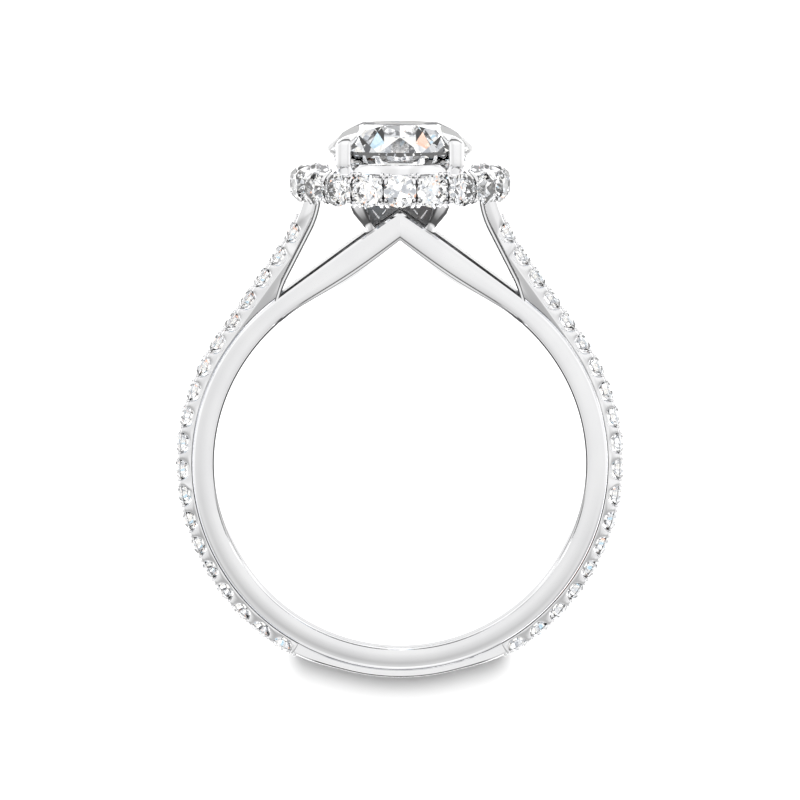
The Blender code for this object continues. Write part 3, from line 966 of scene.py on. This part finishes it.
def makeSaddle(metal, paintedShadeRecess):
    work = bmesh.new()
    bmesh.ops.create_cube(work, size=2.0)
    for vert in work.verts:
        part = "top" if vert.co.y > 0.0 else "foot"
        vert.co = (vert.co.x * saddle[part + "X"], saddle[part], vert.co.z * saddle[part + "Z"])
    bmesh.ops.bevel(work, geom=work.edges[:], offset=saddle["round"], segments=2, profile=0.5,
                    affect="EDGES", material=-1)
    # the saddle is in darkened metal: painted shade under the halo
    finish("head_saddle", work, paintedShadeRecess, 40.0)
    ribs = bmesh.new()
    rise = (saddle["topZ"] - saddle["footZ"]) / (saddle["top"] - saddle["foot"])

    def onSlope(x, y, sideX, sideZ):
        return Vector((sideX * x, y, sideZ * (saddle["footZ"] + rise * (y - saddle["foot"]))))

    for ends in saddle["ribs"]:
        for sideX in (1, -1):
            for sideZ in (1, -1):
                high, low = [onSlope(x, y, sideX, sideZ) for x, y in ends]
                along = low - high
                place = facing((high + low) / 2, along, Vector((0.0, 0.0, 1.0)))
                bmesh.ops.create_cone(ribs, cap_ends=True, segments=saddle["ribSides"],
                                      radius1=saddle["ribR"], radius2=saddle["ribR"],
                                      depth=along.length, matrix=place)
    finish("saddle_ribs", ribs, metal, 40.0)


gold = polishedGold("polished_white_gold")
railGold = polishedGold("rail_white_gold", *metalLook["rail"])
# rough metal darkened as painted shade, for the saddle and the halo's channel
paintedShadeRecessGold = polishedGold("rough_recess_painted_shade", *metalLook["paintedShadeRecess"])
# rougher metal darkened to paint shade lines along the band's outer bevel and the rails' chamfers
paintedShadeEdgeGold = polishedGold("satin_edge_painted_shade", *metalLook["edge"])
gem = diamond("clear_diamond")
smallGem = diamond("small_diamond")

innerBand = makeInnerBand(gold, paintedShadeEdgeGold)
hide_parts("ring_mount")
makeRails(railGold, paintedShadeEdgeGold)
backRail = makeBackRail(railGold)
makePave(smallGem, gold)
makeHalo(smallGem, gold, paintedShadeRecessGold)
makeCentre(gem, gold)
makeClaws(gold)
makeSaddle(gold, paintedShadeRecessGold)


# Floor and light

studio = {
    "floorSize": 2.0,
    "floorShade": (0.93, 0.93, 0.93),
    "floorRough": 0.9,
    "backdropR": 4.0,
    "backdropGlow": 1.1,
    # the tent's brightness by height, along the head's direction and sideways, each from -1 to 1
    "height": ((-1.0, 1.0), (-0.55, 0.95), (-0.28, 1.1), (-0.15, 1.0), (-0.11, 0.12), (0.1, 0.12),
               (0.17, 0.65), (0.3, 1.05), (0.7, 1.1), (1.0, 1.0)),
    "towardsHead": ((-1.0, 1.05), (-0.88, 1.05), (-0.76, 0.7), (-0.66, 0.5), (-0.54, 0.5),
                    (-0.444, 0.64), (-0.303, 0.91), (-0.16, 0.98), (1.0, 1.05)),
    "sideways": ((-1.0, 1.0), (-0.54, 1.0), (-0.46, 0.9), (-0.33, 0.85), (-0.26, 0.85),
                 (-0.14, 0.88), (0.0, 1.0), (0.2, 1.0), (0.26, 0.9), (0.33, 0.85), (0.46, 0.9),
                 (0.54, 1.0), (1.0, 1.0)),
    # the tent's floor takes over below this height, and has its own brightness
    "below": ((-0.26, 1.0), (-0.16, 0.0)),
    "underfoot": ((-1.0, 2.0), (-0.62, 1.9), (-0.52, 0.93), (0.0, 0.93)),
    # a small grey card that the centre stone's table mirrors, so that its edge shows
    "card": {"way": (0.0, 0.248, -0.969), "shade": (0.4, 0.4, 0.41),
             "edge": ((0.06, 1.0), (0.09, 0.0))},
    "panelScale": 6.0,         # small panels that only the stones gather
    "panelSeed": 2.0,
    "stoneDepth": 3.5,         # light that has turned this often has been through a stone
    "panels": ((0.0, (0.12, 0.125, 0.14)), (0.06, (0.6, 0.63, 0.68)), (0.21, (1.0, 1.02, 1.05)),
               (0.54, (1.45, 0.88, 0.66)), (0.555, (1.25, 1.23, 1.18)),
               (0.79, (0.75, 1.05, 1.25)), (0.805, (2.1, 2.1, 2.1))),
    "overhead": {"place": (0.0, 0.17, 0.47), "size": 0.5, "power": 3.9},
    "wash": {"place": (0.0, 0.03, 0.55), "size": 0.5, "power": 0.4},
}


def setPiece(name, work, shade, rough, glow=0.0):
    mesh = bpy.data.meshes.new(name)
    work.to_mesh(mesh)
    work.free()
    piece = bpy.data.objects.new(name, mesh)
    bpy.context.scene.collection.objects.link(piece)
    made, graph = newMaterial(name + "_paper")
    graph.set("Base Color", (*shade, 1.0))
    graph.set("Roughness", rough)
    if glow:
        graph.set("Emission Color", (1.0, 1.0, 1.0, 1.0))
        graph.set("Emission Strength", glow)
    mesh.materials.append(made)
    # the metal and the stones mirror the studio alone, not the paper
    piece.visible_glossy = False
    piece.visible_transmission = False
    return piece


def makeFloor():
    work = bmesh.new()
    bmesh.ops.create_grid(work, x_segments=1, y_segments=1, size=studio["floorSize"] / 2)
    setPiece("floor", work, studio["floorShade"], studio["floorRough"])
    # white paper far away, seen only behind the floor's edge in low views
    work = bmesh.new()
    bmesh.ops.create_uvsphere(work, u_segments=48, v_segments=24, radius=studio["backdropR"])
    bmesh.ops.reverse_faces(work, faces=work.faces)
    backdrop = setPiece("backdrop", work, (0.0, 0.0, 0.0), 1.0, studio["backdropGlow"])
    backdrop.visible_diffuse = False
    backdrop.visible_shadow = False


def softLight(name, shadowOf=()):
    settings = studio[name]
    data = bpy.data.lights.new(name, "AREA")
    data.shape = "DISK"
    data.size = settings["size"]
    data.energy = settings["power"]
    lamp = bpy.data.objects.new(name, data)
    bpy.context.scene.collection.objects.link(lamp)
    lamp.location = settings["place"]
    lamp.rotation_euler = Vector(settings["place"]).to_track_quat("Z", "Y").to_euler()
    lamp.visible_glossy = False
    lamp.visible_transmission = False
    if shadowOf:
        # only these pieces keep this light off the paper
        blockers = bpy.data.collections.new(name + "_shadow")
        for piece in shadowOf:
            blockers.objects.link(piece)
        lamp.light_linking.blocker_collection = blockers


def makeSky():
    # a bright tent with a dark horizon for the metal, and small panels for the stones
    world = bpy.data.worlds.new("studio")
    bpy.context.scene.world = world
    world.use_nodes = True
    world.cycles_visibility.diffuse = False
    graph = Graph(world, "Background")
    where = graph.add("TexCoord", output="Generated")
    x, y, z = graph.split(where)

    def grey(stops, place):
        stops = tuple((at, (shade, shade, shade)) for at, shade in stops)
        return graph.add("ValToRGB", {"stops": stops}, {"Fac": place})

    def across(name, axis):
        # a ramp whose stops run from -1 to 1
        return grey([(at * 0.5 + 0.5, shade) for at, shade in studio[name]], axis * 0.5 + 0.5)

    tone = graph.mix(1.0, across("height", z), across("towardsHead", y), "MULTIPLY")
    tone = graph.mix(1.0, tone, across("sideways", x), "MULTIPLY")
    below, _, _ = graph.split(across("below", z))
    tone = graph.mix(below, tone, across("underfoot", z))
    card = studio["card"]
    away = graph.add("VectorMath", {"operation": "DISTANCE"}, {0: where, 1: card["way"]},
                     output="Value")
    share, _, _ = graph.split(grey(card["edge"], away))
    tone = graph.mix(share, tone, (*card["shade"], 1.0))
    cell = graph.add("TexVoronoi", {"voronoi_dimensions": "4D"},
                     {"Vector": where, "W": studio["panelSeed"], "Scale": studio["panelScale"]},
                     output="Color")
    pick, _, _ = graph.split(cell)
    panel = graph.add("ValToRGB", {"stops": studio["panels"]}, {"Fac": pick})
    panel.socket.node.color_ramp.interpolation = "CONSTANT"
    straight = graph.add("LightPath", output="Is Transmission Ray")
    depth = graph.add("LightPath", output="Ray Depth")
    gathered = straight.calc("MAXIMUM", depth.calc("GREATER_THAN", studio["stoneDepth"]))
    graph.set("Color", graph.mix(gathered, tone, panel))


makeFloor()
makeSky()
softLight("overhead", [backRail])
softLight("wash")
bpy.context.scene.view_settings.view_transform = "Standard"
print("floor and light set")
